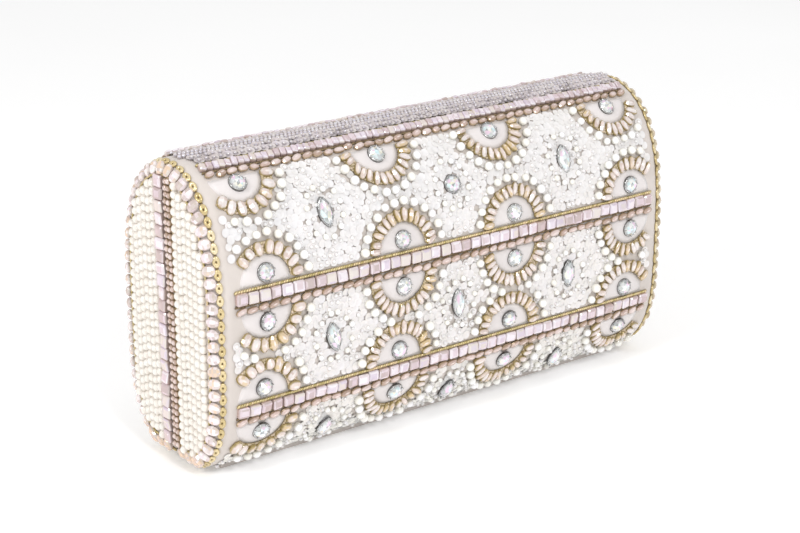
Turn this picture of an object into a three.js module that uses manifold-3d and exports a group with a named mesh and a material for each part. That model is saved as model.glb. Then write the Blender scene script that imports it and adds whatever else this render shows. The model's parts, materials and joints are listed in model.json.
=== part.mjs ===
// Beaded evening bag: a hard box clutch of two mirror-image trays, hinged along the bottom.
// Units are millimetres. Origin: centre of the base on the table. +X right, -Y front, +Z up.
// Every layer of the bag is parallel to one cloth surface, so each solid is given by the
// distances of its two faces from that surface: positive is outwards, negative inwards.
import * as THREE from "three";
import { mergeVertices } from "three/addons/utils/BufferGeometryUtils.js";
import Module from "manifold-3d";

const wasm = await Module();
wasm.setup();

// ---------- driving dimensions ----------
const WIDTH = 200; // cloth surface, end to end
const DEPTH = 59; // cloth surface, front to back at the widest height
const TOP = 107.5; // cloth surface at the top of the section
const MID = 55; // height where the section is deepest
const BOTTOM = 2.4; // cloth surface under the bag, above the base boards
const LOWER_REACH = 55.8; // the lower half of the section would close this far below MID
const UPPER_SQUARENESS = 2.8; // superellipse power of the upper half of the section
const LOWER_SQUARENESS = 4.2; // and of the lower half, which is boxier
const END_RADIUS = 6; // rounding between the long faces and the end panels
const SECTION_STEPS = 24; // straight runs along each half of the section
const ROUNDING_STEPS = 3;

const SEAM_HALF_GAP = 0.2; // each half stops this far from the opening plane
const GAP = 0.3; // between one layer or strip and the next

const COVER = { inner: -0.9, outer: 0 };
const CASE = { inner: -3.3, outer: -1.2 };
const LINING = { inner: -4.4, outer: -3.6 };
const RIM = { inner: -5, outer: -1.2, thickness: 1.1 };
const BEADS = { inner: 0.3, outer: 2.4 };

// Bands of the long faces, as distances down the cloth from the middle of the top.
const BANDS = [
  { name: "top_sequins", from: 0.5, to: 7.5, slot: "sequins" },
  { name: "line_1", from: 7.8, to: 15.4, slot: "line_beads" },
  { name: "field_1", from: 15.7, to: 52.9, slot: "beadwork" },
  { name: "line_2", from: 53.2, to: 61.6, slot: "line_beads" },
  { name: "field_2", from: 61.9, to: 92.6, slot: "beadwork" },
  { name: "line_3", from: 92.9, to: 101, slot: "line_beads" },
  { name: "field_3", from: 101.3, to: 124.5, slot: "beadwork" },
];
const LINE_HALF_LENGTH = 93;

const BORDER_INSET = 4.7; // the end borders cover this much of the section, from its edge
const SEAM_TRIM_WIDTH = 4.8; // bead row beside the opening, on the end panels

const HINGE = {
  height: 2.8, // axis, above the table
  barrel: 1.9,
  bore: 0.9,
  pin: 0.82,
  halfLength: 80,
  knuckles: 9,
  knuckleGap: 0.3,
  leaf: 0.8,
  leafFrom: 2.3,
  leafTo: 12,
};
const CHANNEL = { halfWidth: 2.6, top: 5.2 }; // clear space round the hinge barrel
const BASE = { from: 3, to: 13, thickness: 2.1, halfLength: 90 };
const MAGNET = { x: 45, z: 95.5, radius: 3.5, thickness: 1.5 };
const LUG = { width: 10, bottom: 91, top: 104 };
const ROUND_SEGMENTS = 24;
const FAR = 300; // larger than the bag, for cutting boxes

const halves = [
  { name: "front", side: -1 },
  { name: "back", side: 1 },
];
const ends = [
  { name: "left", sign: -1 },
  { name: "right", sign: 1 },
];

// ---------- finishes, one per material slot ----------
const finishes = {
  beadwork: { color: 0xf1e9e4, roughness: 0.35, metalness: 0 },
  line_beads: { color: 0xd6b3bd, roughness: 0.25, metalness: 0.2 },
  sequins: { color: 0xe4dfe6, roughness: 0.2, metalness: 0.1 },
  pearls: { color: 0xf4eee4, roughness: 0.25, metalness: 0 },
  border_beads: { color: 0xd9b59a, roughness: 0.3, metalness: 0.3 },
  cloth: { color: 0xf2ece6, roughness: 0.9, metalness: 0 },
  board: { color: 0xd9d2c4, roughness: 0.8, metalness: 0 },
  satin: { color: 0xead9cf, roughness: 0.5, metalness: 0 },
  brass: { color: 0xc9a45c, roughness: 0.3, metalness: 1 },
  steel: { color: 0xb9bcc0, roughness: 0.3, metalness: 1 },
};

// ---------- the section ----------
// Points of one half of the section, {depth, z}, from the top centre to the base corner.
function halfSection() {
  const samples = 2000;
  const lastTurn = Math.acos(((MID - BOTTOM) / LOWER_REACH) ** (LOWER_SQUARENESS / 2));
  const turn = Math.PI - lastTurn;
  const dense = [];
  for (let i = 0; i <= samples; i += 1) {
    const t = (turn * i) / samples;
    const c = Math.cos(t);
    const upper = c >= 0;
    const reach = upper ? TOP - MID : -LOWER_REACH;
    const power = 2 / (upper ? UPPER_SQUARENESS : LOWER_SQUARENESS);
    dense.push({ depth: (DEPTH / 2) * Math.sin(t), z: MID + reach * Math.abs(c) ** power });
  }
  return evenlySpaced(dense, SECTION_STEPS);
}

function evenlySpaced(points, steps) {
  const lengths = [0];
  for (let i = 1; i < points.length; i += 1) {
    const step = Math.hypot(points[i].depth - points[i - 1].depth, points[i].z - points[i - 1].z);
    lengths.push(lengths[i - 1] + step);
  }
  const total = lengths[lengths.length - 1];
  const picked = [];
  let j = 0;
  for (let i = 0; i <= steps; i += 1) {
    const wanted = (total * i) / steps;
    while (j < points.length - 2 && lengths[j + 1] < wanted) j += 1;
    const share = (wanted - lengths[j]) / (lengths[j + 1] - lengths[j]);
    picked.push({
      depth: THREE.MathUtils.lerp(points[j].depth, points[j + 1].depth, share),
      z: THREE.MathUtils.lerp(points[j].z, points[j + 1].z, share),
    });
  }
  return picked;
}

const SECTION = halfSection();

// The whole outline, anticlockwise in (y, z), as THREE.Vector2.
function outline() {
  const back = SECTION.map((p) => new THREE.Vector2(p.depth, p.z)).reverse();
  const front = SECTION.slice(1).map((p) => new THREE.Vector2(-p.depth, p.z));
  return [...back, ...front];
}

// A closed anticlockwise outline moved outwards by a distance, its corners mitred.
function offsetOutline(points, distance) {
  const count = points.length;
  return points.map((p, i) => {
    const before = outwardNormal(points[(i + count - 1) % count], p);
    const after = outwardNormal(p, points[(i + 1) % count]);
    return p.clone().add(mitre(before, after, distance));
  });
}

function outwardNormal(a, b) {
  return new THREE.Vector2(b.y - a.y, a.x - b.x).normalize();
}

function mitre(before, after, distance) {
  const middle = before.clone().add(after).normalize();
  return middle.multiplyScalar(distance / middle.dot(before));
}

// ---------- solids ----------
// Extrudes a (y, z) shape along X, centred on x = 0.
function alongX(shape, length, bevel = 0) {
  const geometry = new THREE.ExtrudeGeometry(shape, {
    depth: length,
    steps: 1,
    bevelEnabled: bevel > 0,
    bevelThickness: bevel,
    bevelSize: bevel,
    bevelSegments: ROUNDING_STEPS,
  });
  geometry.translate(0, 0, -length / 2);
  const axes = [new THREE.Vector3(0, 1, 0), new THREE.Vector3(0, 0, 1), new THREE.Vector3(1, 0, 0)];
  return geometry.applyMatrix4(new THREE.Matrix4().makeBasis(...axes));
}

function toManifold(geometry) {
  const bare = geometry.clone();
  bare.deleteAttribute("normal");
  bare.deleteAttribute("uv");
  const merged = mergeVertices(bare, 1e-4);
  return new wasm.Manifold(
    new wasm.Mesh({
      numProp: 3,
      vertProperties: new Float32Array(merged.attributes.position.array),
      triVerts: new Uint32Array(merged.index.array),
    }),
  );
}

function toGeometry(solid) {
  const mesh = solid.getMesh();
  const geometry = new THREE.BufferGeometry();
  geometry.setAttribute("position", new THREE.BufferAttribute(new Float32Array(mesh.vertProperties), 3));
  geometry.setIndex(new THREE.BufferAttribute(new Uint32Array(mesh.triVerts), 1));
  geometry.computeVertexNormals();
  return geometry;
}

function box(low, high) {
  const size = high.map((h, i) => h - low[i]);
  const geometry = new THREE.BoxGeometry(...size);
  geometry.translate(...low.map((l, i) => l + size[i] / 2));
  return geometry;
}

function boxSolid(low, high) {
  return toManifold(box(low, high));
}

// The bag's closed body, its surface moved by an offset from the cloth.
function bodySolid(offset) {
  const core = offsetOutline(outline(), -END_RADIUS);
  return toManifold(alongX(new THREE.Shape(core), WIDTH - 2 * END_RADIUS, END_RADIUS + offset));
}

const bodies = new Map();
function body(offset) {
  if (!bodies.has(offset)) bodies.set(offset, bodySolid(offset));
  return bodies.get(offset);
}

function layer({ inner, outer }) {
  return body(outer).subtract(body(inner));
}

// Everything from one depth to another, on one side of the opening plane.
function depthSlab(side, from, to) {
  const [low, high] = side < 0 ? [-to, -from] : [from, to];
  return boxSolid([-FAR, low, -FAR], [FAR, high, FAR]);
}

function hingeChannel() {
  const { halfWidth, top } = CHANNEL;
  return boxSolid([-FAR, -halfWidth, -FAR], [FAR, halfWidth, top]);
}

// A tray: one layer of the body, cut at the opening plane, with room for the hinge.
function tray(wall, side, from) {
  return layer(wall).intersect(depthSlab(side, from, FAR)).subtract(hingeChannel());
}

// A band of a layer on a long face, between two distances down the cloth from the top.
function band({ inner, outer }, side, from, to, halfLength) {
  const line = stretch(from, to);
  const outside = line.map((p) => faceAt(p, outer, side));
  const inside = line.map((p) => faceAt(p, inner, side));
  return alongX(new THREE.Shape([...outside, ...inside.reverse()]), 2 * halfLength);
}

function faceAt({ point, push }, offset, side) {
  const moved = point.clone().addScaledVector(push, offset);
  return new THREE.Vector2(side * moved.x, moved.y);
}

// The section's points between two arc lengths, each with the move for an offset of 1 mm.
function stretch(from, to) {
  const points = SECTION.map((p) => new THREE.Vector2(p.depth, p.z));
  const normals = points.slice(1).map((p, i) => outwardNormal(p, points[i]));
  const found = [];
  let start = 0;
  normals.forEach((normal, i) => {
    const [a, b] = [points[i], points[i + 1]];
    const end = start + a.distanceTo(b);
    const at = (s) => a.clone().lerp(b, (s - start) / (end - start));
    if (from >= start && from < end) found.push({ point: at(from), push: normal });
    if (i > 0 && start > from && start < to) found.push({ point: a, push: mitre(normals[i - 1], normal, 1) });
    if (to > start && to <= end) found.push({ point: at(to), push: normal });
    start = end;
  });
  return found;
}

function sectionLength() {
  return SECTION.slice(1).reduce((sum, p, i) => {
    return sum + Math.hypot(p.depth - SECTION[i].depth, p.z - SECTION[i].z);
  }, 0);
}

// ---------- sub-parts ----------
function coverFor({ side }) {
  return band(COVER, side, SEAM_HALF_GAP, sectionLength() - GAP, WIDTH / 2 - END_RADIUS - GAP);
}

function baseFor({ side }) {
  const { from, to, thickness, halfLength } = BASE;
  const [near, far] = side < 0 ? [-to, -from] : [from, to];
  return box([-halfLength, near, 0], [halfLength, far, thickness]);
}

// A flat metal frame round the mouth of a half, with two lugs for the magnets.
function rimFor({ side }) {
  const faces = [SEAM_HALF_GAP, SEAM_HALF_GAP + RIM.thickness];
  let frame = layer(RIM).intersect(depthSlab(side, ...faces));
  const [near, far] = side < 0 ? [-faces[1], -faces[0]] : faces;
  ends.forEach(({ sign }) => {
    const x = sign * MAGNET.x;
    frame = frame.add(boxSolid([x - LUG.width / 2, near, LUG.bottom], [x + LUG.width / 2, far, LUG.top]));
  });
  return toGeometry(frame.subtract(hingeChannel()));
}

function magnetFor({ side }, { sign }) {
  const disc = new THREE.CylinderGeometry(MAGNET.radius, MAGNET.radius, MAGNET.thickness, ROUND_SEGMENTS);
  const behindLug = SEAM_HALF_GAP + RIM.thickness + GAP + MAGNET.thickness / 2;
  return disc.translate(sign * MAGNET.x, side * behindLug, MAGNET.z);
}

// The outside of one end of one half: the bead layer beyond the start of the rounding.
function endBeads(side, sign, from, to) {
  const start = WIDTH / 2 - END_RADIUS + GAP;
  const [low, high] = sign < 0 ? [-FAR, -start] : [start, FAR];
  const beyond = boxSolid([low, -FAR, GAP], [high, FAR, FAR]);
  return layer(BEADS).intersect(beyond).intersect(depthSlab(side, from, to)).subtract(hingeChannel());
}

function insetPrism(inset) {
  return toManifold(alongX(new THREE.Shape(offsetOutline(outline(), -inset)), FAR));
}

function panelFor({ side }, { sign }) {
  const from = SEAM_HALF_GAP + SEAM_TRIM_WIDTH + GAP;
  return toGeometry(endBeads(side, sign, from, FAR).intersect(insetPrism(BORDER_INSET + GAP)));
}

// The border runs from the opening plane over the top, down the long edge and under the end.
function borderFor({ side }, { sign }) {
  return toGeometry(endBeads(side, sign, SEAM_HALF_GAP, FAR).subtract(insetPrism(BORDER_INSET)));
}

function seamTrimFor({ side }, { sign }) {
  const trim = endBeads(side, sign, SEAM_HALF_GAP, SEAM_HALF_GAP + SEAM_TRIM_WIDTH);
  return toGeometry(trim.intersect(insetPrism(BORDER_INSET + GAP)));
}

function cylinderAlongX(radius, length, x) {
  const cylinder = new THREE.CylinderGeometry(radius, radius, length, ROUND_SEGMENTS);
  cylinder.rotateZ(Math.PI / 2);
  return cylinder.translate(x, 0, HINGE.height);
}

// A hinge leaf with its knuckles; the back leaf has the odd one more.
function leafFor({ side }) {
  const { leaf, leafFrom, leafTo, halfLength, knuckles, knuckleGap, barrel, bore } = HINGE;
  const z = [HINGE.height - leaf / 2, HINGE.height + leaf / 2];
  const plate = (xs, from, to) => {
    const ys = side < 0 ? [-to, -from] : [from, to];
    return boxSolid([xs[0], ys[0], z[0]], [xs[1], ys[1], z[1]]);
  };
  const pitch = (2 * halfLength + knuckleGap) / knuckles;
  const length = pitch - knuckleGap;
  let solid = plate([-halfLength, halfLength], leafFrom, leafTo);
  for (let i = side < 0 ? 1 : 0; i < knuckles; i += 2) {
    const low = -halfLength + i * pitch;
    solid = solid.add(plate([low, low + length], bore, leafFrom + GAP));
    solid = solid.add(toManifold(cylinderAlongX(barrel, length, low + length / 2)));
  }
  return toGeometry(solid.subtract(toManifold(cylinderAlongX(bore, FAR, 0))));
}

function bandFor({ side }, { name, from, to }) {
  const full = WIDTH / 2 - END_RADIUS - GAP;
  return band(BEADS, side, from, to, name.startsWith("line") ? LINE_HALF_LENGTH : full);
}

// ---------- assembly ----------
const bag = new THREE.Group();
bag.name = "evening_bag";

function add(name, geometry, slot) {
  const material = new THREE.MeshStandardMaterial(finishes[slot]);
  const mesh = new THREE.Mesh(geometry, material);
  mesh.name = name;
  bag.add(mesh);
}

halves.forEach((half) => {
  const edge = SEAM_HALF_GAP + RIM.thickness + GAP;
  add(`${half.name}_case`, toGeometry(tray(CASE, half.side, edge)), "board");
  add(`${half.name}_lining`, toGeometry(tray(LINING, half.side, edge)), "satin");
  add(`${half.name}_cover`, coverFor(half), "cloth");
  add(`${half.name}_base`, baseFor(half), "cloth");
  add(`${half.name}_rim`, rimFor(half), "brass");
  add(`${half.name}_hinge_leaf`, leafFor(half), "brass");
  BANDS.forEach((one) => add(`${half.name}_${one.name}`, bandFor(half, one), one.slot));
  ends.forEach((end) => {
    const name = `${half.name}_${end.name}`;
    add(`${name}_panel`, panelFor(half, end), "pearls");
    add(`${name}_border`, borderFor(half, end), "border_beads");
    add(`${name}_seam_trim`, seamTrimFor(half, end), "line_beads");
    add(`${name}_magnet`, magnetFor(half, end), "steel");
  });
});
add("hinge_pin", cylinderAlongX(HINGE.pin, 2 * HINGE.halfLength, 0), "steel");

export default bag;
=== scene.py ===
"""A pearl and bead embroidered box clutch, standing closed on a pale studio floor.

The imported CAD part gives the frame: trays, rims, hinge, magnets and base boards stay as they are.
This script sews the cloth, lining and every pearl, bead, sequin and stone on top of them.
Lengths are in millimetres until a mesh is made, where MM turns them into metres.
"""

import json
import math

import bpy
import numpy as np
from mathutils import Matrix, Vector


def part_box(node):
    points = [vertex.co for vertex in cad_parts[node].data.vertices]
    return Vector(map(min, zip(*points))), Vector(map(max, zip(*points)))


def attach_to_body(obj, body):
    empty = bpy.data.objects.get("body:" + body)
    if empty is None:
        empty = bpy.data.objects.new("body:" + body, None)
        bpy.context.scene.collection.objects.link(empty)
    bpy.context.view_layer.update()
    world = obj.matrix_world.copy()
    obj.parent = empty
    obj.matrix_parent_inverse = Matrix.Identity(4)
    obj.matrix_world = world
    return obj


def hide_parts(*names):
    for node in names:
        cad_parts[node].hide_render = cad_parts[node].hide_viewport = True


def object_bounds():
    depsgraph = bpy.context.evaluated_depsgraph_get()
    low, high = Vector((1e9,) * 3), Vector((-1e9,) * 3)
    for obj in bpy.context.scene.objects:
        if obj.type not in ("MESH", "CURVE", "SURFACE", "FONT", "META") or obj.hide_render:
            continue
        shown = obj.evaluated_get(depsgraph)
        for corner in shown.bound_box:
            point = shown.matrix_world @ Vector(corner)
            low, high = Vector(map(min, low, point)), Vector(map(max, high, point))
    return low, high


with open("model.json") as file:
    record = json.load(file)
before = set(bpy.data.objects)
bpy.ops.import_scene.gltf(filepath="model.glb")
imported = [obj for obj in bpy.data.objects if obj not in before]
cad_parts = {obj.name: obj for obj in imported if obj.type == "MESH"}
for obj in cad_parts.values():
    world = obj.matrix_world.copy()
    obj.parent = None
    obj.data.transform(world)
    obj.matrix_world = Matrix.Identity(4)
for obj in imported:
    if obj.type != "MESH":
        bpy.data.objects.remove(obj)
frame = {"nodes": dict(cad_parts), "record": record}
cad_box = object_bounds()

MM = 0.001
rng = np.random.default_rng(20)

# ---------- the bag's shape, read from the frame ----------
COVER_LOW, COVER_HIGH = [np.array(corner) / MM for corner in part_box("front_cover")]
PANEL_HIGH = np.array(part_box("front_left_panel")[1]) / MM
BEAD_CLEARANCE = 0.3
HALF_DEPTH = -COVER_LOW[1]
TOP = COVER_HIGH[2]
BOTTOM = COVER_LOW[2]
HALF_WIDTH = -PANEL_HIGH[0] - BEAD_CLEARANCE
SEAM_HALF_GAP = -COVER_HIGH[1]
FACE_HALF_WIDTH = COVER_HIGH[0] + BEAD_CLEARANCE
END_RADIUS = HALF_WIDTH - FACE_HALF_WIDTH

# The section is a superellipse: rounder above its middle, boxier below, and flat underneath.
MIDDLE = (TOP + BOTTOM) / 2
UPPER_POWER = 2.8
LOWER_POWER = 4.2
LOWER_REACH = 1.062
HINGE_CLEARANCE = 2.7

# ---------- bead sizes: radii, or half sizes along, across and up ----------
PEARL = 1.62
PANEL_PEARL = 1.62
PANEL_PITCH = 2.9
FAN_RADIUS = 12.1
FAN_BEADS = (10, 14, 14, 14)
FAN_BEAD_LENGTH = 2.5
FAN_BEAD_HEIGHT = 1.3
FAN_BEAD_FILL = 0.96  # how much of its share of the half round each bead fills
BRAID_RADII = (10.4, 11.4, 12.4, 13.4)
FAN_PEARL_RADIUS = 16.6
FAN_PEARLS = 12
FAN_PEARLS_START = 9  # degrees above the fan's line
SQUARE_WIDTH = 4.4
SQUARE_HEIGHT = 2.1
ROSE_BEAD = (2.1, 1.25, 1.0)
SMALL_ROSE = 1.17
CORD = 0.55
DARK_CORD = 0.42
STRAND = (1.7, 0.95, 1.0)  # a cord's strand, as shares of the cord's radius
STRAND_PITCH = 1.9
STRAND_SLANT = math.radians(34)
STONE = 2.85
STONE_RISE = 3.9
TOP_STONE_RISE = 3.0
MARQUISE_SIZE = (2.5, 4.7, 2.6)
RAY_PEARL = 1.1
RAY_RADIUS = 8.6
RAY_COUNT = 12
FILLING_PITCH = 2.45
FILLING_SEQUIN = 1.5
FILLING_BEAD = 0.75
FILLING_BEADED = 0.35
TOP_SEQUIN = 1.85
TOP_SEED = 0.6
EDGE_BEAD = 0.8
SQUARE_PITCHES = {1: 2.4, 2: SQUARE_WIDTH, 3: SQUARE_WIDTH}
SQUARE_SLANTS = {1: -0.22, 2: 0.0, 3: 0.0}

# ---------- the border on each rounding; turns are 0 degrees on the end, 90 on the face ----------
BORDER_INSET = 4.7
BORDER_PITCH = 4.3
BORDER_GLASS_BEAD = (2.3, 1.95, 1.35)
BORDER_GLASS_TURN = 27
BORDER_RING_SIZE = (1.3, 2.05, 1.2)
BORDER_RING_TURN = 52
BORDER_CORD_TURN = 8
PEACH_REACH = 12

# How far above the cloth the centre of each kind of bead sits.
SEATS = {
    "square": 1.0,
    "rose": 0.8,
    "edge": 0.9 * EDGE_BEAD,
    "top_sequin": 0.45,
    "top_seed": 0.4,
    "fan": 0.7 * FAN_BEAD_HEIGHT,
    "braid": 0.6 * CORD,
    "filling_sequin": 0.25,
    "filling_bead": 0.6,
    "fan_stone": 1.2,
    "diamond_stone": 1.1,
    "panel_pearl": 0.35 * PANEL_PEARL,
    "border_glass": 0.6 * BORDER_GLASS_BEAD[2],
    "border_ring": 0.4 * BORDER_RING_SIZE[2],
    "seam_rose": 0.85,
    "seam_cord": 0.6,
    "seam_square": 1.1,
}

# How far hand-sewn beads lean, in radians.
LEAN = 0.1
SQUARE_LEAN = 0.11
SLIGHT_LEAN = 0.08
FILLING_LEAN = 0.06

# The pattern was set out by hand, so the columns are not quite evenly spaced, and the fans on
# the middle line stand a little further right than the others.
COLUMNS = (-83.0, -27.0, 23.0, 80.0)
LINE_SHIFTS = {1: 0.0, 2: 2.2, 3: 0.3}
DIAMONDS = (-54.5, -0.5, 51.5)
PATTERN_END = 93.0


# ---------- the section and places on it ----------
class Section:
    """One half of the bag's outline, from the top centre down and round under to the hinge."""

    def __init__(self, steps=3000):
        up = TOP - MIDDLE
        reach = up * LOWER_REACH
        last = math.pi - math.acos(((MIDDLE - BOTTOM) / reach) ** (LOWER_POWER / 2))
        turn = np.linspace(0, last, steps)
        c = np.cos(turn)
        depth = HALF_DEPTH * np.sin(turn)
        high = MIDDLE + up * np.abs(c) ** (2 / UPPER_POWER)
        low = MIDDLE - reach * np.abs(c) ** (2 / LOWER_POWER)
        z = np.where(c >= 0, high, low)
        flat = np.linspace(depth[-1], HINGE_CLEARANCE, steps // 10)[1:]
        self.corner = self._lengths(depth, z)[-1]
        self.depth = np.concatenate([depth, flat])
        self.z = np.concatenate([z, np.full(len(flat), z[-1])])
        self.s = self._lengths(self.depth, self.z)
        self.total = self.s[-1]
        run_depth = np.gradient(self.depth, self.s)
        run_z = np.gradient(self.z, self.s)
        length = np.hypot(run_depth, run_z)
        self.run = run_depth / length, run_z / length

    @staticmethod
    def _lengths(depth, z):
        steps = np.hypot(np.diff(depth), np.diff(z))
        return np.concatenate([[0], np.cumsum(steps)])

    def at(self, s):
        """depth, z, and the outward normal's depth and z parts, at distances down the cloth."""
        depth = np.interp(s, self.s, self.depth)
        z = np.interp(s, self.s, self.z)
        run_depth = np.interp(s, self.s, self.run[0])
        run_z = np.interp(s, self.s, self.run[1])
        length = np.hypot(run_depth, run_z)
        return depth, z, -run_z / length, run_depth / length

    def nearest(self, depth, z):
        """Distance down the cloth of the section's nearest point to each given point."""
        squared = (self.depth - depth[:, None]) ** 2 + (self.z - z[:, None]) ** 2
        return self.s[squared.argmin(1)]


SECTION = Section()


def band_of(node):
    """(from, to) of a CAD bead band, as distances down the cloth from the top centre."""
    points = np.array([v.co for v in frame["nodes"][node].data.vertices]) / MM
    found = SECTION.nearest(np.abs(points[:, 1]), points[:, 2])
    return found.min(), found.max()


def face_frames(x, s, height=0.0):
    """Places on the front face: centres, and axes along the bag, up the cloth and outwards."""
    x, s = np.broadcast_arrays(np.asarray(x, float), np.asarray(s, float))
    depth, z, out_depth, out_z = SECTION.at(s)
    nothing = np.zeros_like(depth)
    out = np.stack([nothing, -out_depth, out_z], -1)
    along = np.stack([nothing + 1, nothing, nothing], -1)
    up = np.cross(out, along)
    centre = np.stack([x, -depth, z], -1) + out * np.reshape(height, (-1, 1))
    return centre, np.stack([along, up, out], 1)


def rounding_frames(s, turn, end, height=0.0):
    """Places on the rounding at one end (-1 left, 1 right). turn is 0 on the end, 90 on the face.
    The axes run across the rounding, along the outline and outwards."""
    s, turn = np.broadcast_arrays(np.asarray(s, float), np.asarray(turn, float))
    depth, z, out_depth, out_z = SECTION.at(s)
    sine, cosine = np.sin(np.radians(turn)), np.cos(np.radians(turn))
    out = np.stack([end * cosine, -out_depth * sine, out_z * sine], -1)
    across = np.stack([-end * sine, -out_depth * cosine, out_z * cosine], -1)
    core = np.stack(
        [
            np.full_like(depth, end * FACE_HALF_WIDTH),
            -(depth - END_RADIUS * out_depth),
            z - END_RADIUS * out_z,
        ],
        -1,
    )
    centre = core + out * (END_RADIUS + np.reshape(height, (-1, 1)))
    return centre, np.stack([across, np.cross(out, across), out], 1)


def end_frames(y, z, end, height=0.0):
    """Places on the flat of one end panel; the axes run across the panel, up and outwards."""
    y, z = np.broadcast_arrays(np.asarray(y, float), np.asarray(z, float))
    centre = np.stack([np.full_like(y, end * (HALF_WIDTH + height)), y, z], -1)
    out = np.tile([float(end), 0, 0], (len(y), 1))
    up = np.tile([0.0, 0, 1], (len(y), 1))
    return centre, np.stack([np.cross(up, out), up, out], 1)


def turned(axes, angle):
    """The axes turned about their third one, in radians."""
    c = np.cos(angle)[:, None]
    s = np.sin(angle)[:, None]
    first, second = axes[:, 0], axes[:, 1]
    return np.stack([first * c + second * s, second * c - first * s, axes[:, 2]], 1)


def tipped(axes, amount):
    """The axes tilted a little at random, as hand-sewn beads are."""
    lean = rng.normal(0, amount, (len(axes), 2, 1))
    out = axes[:, 2] + axes[:, 0] * lean[:, 0] + axes[:, 1] * lean[:, 1]
    out /= np.linalg.norm(out, axis=1, keepdims=True)
    first = axes[:, 0] - out * np.sum(axes[:, 0] * out, axis=1, keepdims=True)
    first /= np.linalg.norm(first, axis=1, keepdims=True)
    return np.stack([first, np.cross(out, first), out], 1)


# ---------- bead templates: points, faces, and whether they are smooth ----------
class Template:
    def __init__(self, points, faces, smooth=True):
        self.points = np.array(points, float)
        low, high = self.points[:, 2].min(), self.points[:, 2].max()
        self.rise = (self.points[:, 2] - low) / (high - low)
        self.loops = np.array([v for face in faces for v in face])
        self.sizes = np.array([len(face) for face in faces])
        self.smooth = smooth


def circle(count, radius, height, shift=0.0):
    """Points evenly round a level circle, moved on by a share of a step."""
    turns = [2 * math.pi * (i + shift) / count for i in range(count)]
    return [(radius * math.cos(t), radius * math.sin(t), height) for t in turns]


def quads_between(a, b, sides):
    """Faces between two circles of points, whose first points are numbered a and b."""
    steps = [(i, (i + 1) % sides) for i in range(sides)]
    return [(a + i, a + j, b + j, b + i) for i, j in steps]


def lathe(profile, sides, lying=False):
    """A closed solid turned from (radius, height) points, first and last ones on the axis, which
    runs up, or along the first axis if it is lying."""
    inner = profile[1:-1]
    points = [(0, 0, profile[0][1])]
    for radius, height in inner:
        points += circle(sides, radius, height)
    points.append((0, 0, profile[-1][1]))
    faces = [(0, 1 + (i + 1) % sides, 1 + i) for i in range(sides)]
    for level in range(len(inner) - 1):
        faces += quads_between(1 + level * sides, 1 + (level + 1) * sides, sides)
    last, top = 1 + (len(inner) - 1) * sides, len(points) - 1
    faces += [(last + i, last + (i + 1) % sides, top) for i in range(sides)]
    return np.roll(np.array(points), int(lying), axis=1), faces


def ball(sides, rings):
    turns = [math.pi * i / rings for i in range(rings + 1)]
    return Template(*lathe([(math.sin(t), -math.cos(t)) for t in turns], sides))


def barrel_bead(sides=8):
    """A cut glass barrel lying along its first axis, with unit half sizes."""
    profile = [(0, -1), (0.5, -0.93), (0.86, -0.62), (1, -0.15)]
    profile += [(radius, -height) for radius, height in reversed(profile)]
    return Template(*lathe(profile, sides, lying=True), smooth=False)


def ring(sides=14, around=7, thickness=0.42):
    """A ring of unit outer radius, lying flat."""
    points = []
    for i in range(sides):
        angle = 2 * math.pi * i / sides
        for j in range(around):
            turn = 2 * math.pi * j / around
            radius = 1 - thickness + thickness * math.cos(turn)
            height = thickness * math.sin(turn)
            points.append((radius * math.cos(angle), radius * math.sin(angle), height))
    faces = []
    for i in range(sides):
        a, b = i * around, (i + 1) % sides * around
        faces += [(a + j, b + j, b + (j + 1) % around, a + (j + 1) % around) for j in range(around)]
    return Template(points, faces)


def square_bead():
    """A unit square glass bead with chamfered edges and a pillowed face."""
    c = 0.8
    outline = [(-1, -c), (-c, -1), (c, -1), (1, -c), (1, c), (c, 1), (-c, 1), (-1, c)]
    levels = [(-0.5, 0.86), (-0.38, 1), (0.22, 1), (0.42, 0.86), (0.5, 0.52)]
    points = [(x * size / 2, y * size / 2, z) for z, size in levels for x, y in outline]
    faces = [tuple(reversed(range(8)))]
    for level in range(len(levels) - 1):
        faces += quads_between(8 * level, 8 * (level + 1), 8)
    faces.append(tuple(range(8 * (len(levels) - 1), 8 * len(levels))))
    return Template(points, faces, smooth=False)


def sequin(sides=12):
    """A cupped sequin of unit radius, its thread hole closed by the bead sewn over it."""
    profile = [(0, -0.02), (0.3, 0), (1, 0.16), (1, 0.22), (0.62, 0.12), (0.3, 0.07), (0, 0.07)]
    return Template(*lathe(profile, sides), smooth=False)


def cut_stone():
    """A round stone of unit radius with a table, star, kite and girdle facets. The table is cut
    into eight, so that the light breaks up over it."""
    table = circle(8, 0.52, 0.5)
    star = circle(8, 0.8, 0.3, shift=0.5)
    girdle = circle(16, 1, 0.02)
    foot = circle(16, 0.95, -0.3)
    table_peak = (0.08, 0.05, 0.54)
    points = table + star + girdle + foot + [table_peak]
    faces = [(len(points) - 1, i, (i + 1) % 8) for i in range(8)]
    for i in range(8):
        j = (i + 1) % 8
        g = [16 + (2 * i + k) % 16 for k in range(3)]
        faces += [(i, 8 + i, j), (8 + i, g[0], g[1]), (8 + i, g[1], g[2])]
        faces.append((j, 8 + i, g[2], 8 + j))
    faces += [(16 + i, 32 + i, 32 + (i + 1) % 16, 16 + (i + 1) % 16) for i in range(16)]
    faces.append(tuple(reversed(range(32, 48))))
    return Template(points, faces, smooth=False)


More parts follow.
